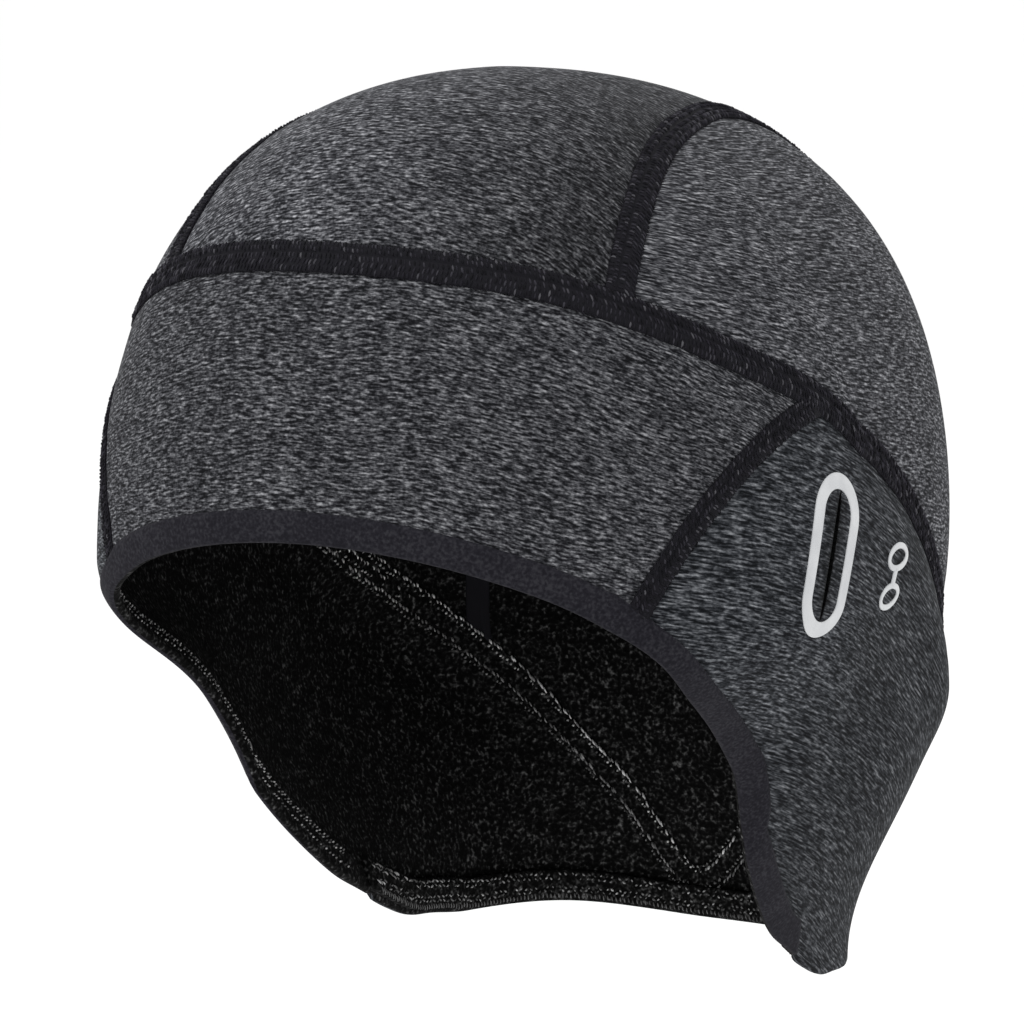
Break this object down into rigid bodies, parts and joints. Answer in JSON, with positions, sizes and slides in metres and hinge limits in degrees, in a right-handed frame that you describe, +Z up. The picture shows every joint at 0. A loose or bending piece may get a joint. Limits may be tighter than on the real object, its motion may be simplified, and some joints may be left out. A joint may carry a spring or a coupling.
{
  "type": "fleece skull cap with ear panels",
  "caption": "Close-fitting winter cap of brushed fleece cloth with flat seams, an elastic-bound face edge, ear panels and slits for glasses.",
  "frame": {"origin": "where the top of the wearer's head touches the inside of the crown", "axes": "+Z up out of the top of the head, the wearer faces -Y, and the wearer's left is +X"},
  "size_m": [0.1674, 0.2018, 0.2079],
  "materials": {
    "heather_cloth": "heather grey stretch jersey outside with short light streaks, black brushed fleece inside",
    "seam_thread": "black flat seam of many looped threads with two ridges",
    "elastic_binding": "smooth charcoal stretch binding, matt with a faint sheen",
    "black_fleece": "black brushed fleece with tiny grey specks and rows of grey stitches",
    "silver_print": "pale silver heat-pressed print, satin"
  },
  "bodies": {
    "root": {"crown_center": "heather_cloth", "crown_side_left": "heather_cloth", "crown_side_right": "heather_cloth", "forehead_band": "heather_cloth", "ear_panel_left": "heather_cloth", "ear_panel_right": "heather_cloth", "band_seam": "seam_thread", "crown_seam_left": "seam_thread", "crown_seam_right": "seam_thread", "ear_seam_left": "seam_thread", "ear_seam_right": "seam_thread", "face_binding": "elastic_binding", "neck_hem": "black_fleece", "slot_ring_left": "silver_print", "slot_ring_right": "silver_print", "glasses_sign_left": "silver_print", "glasses_sign_right": "silver_print"}
  },
  "joints": []
}
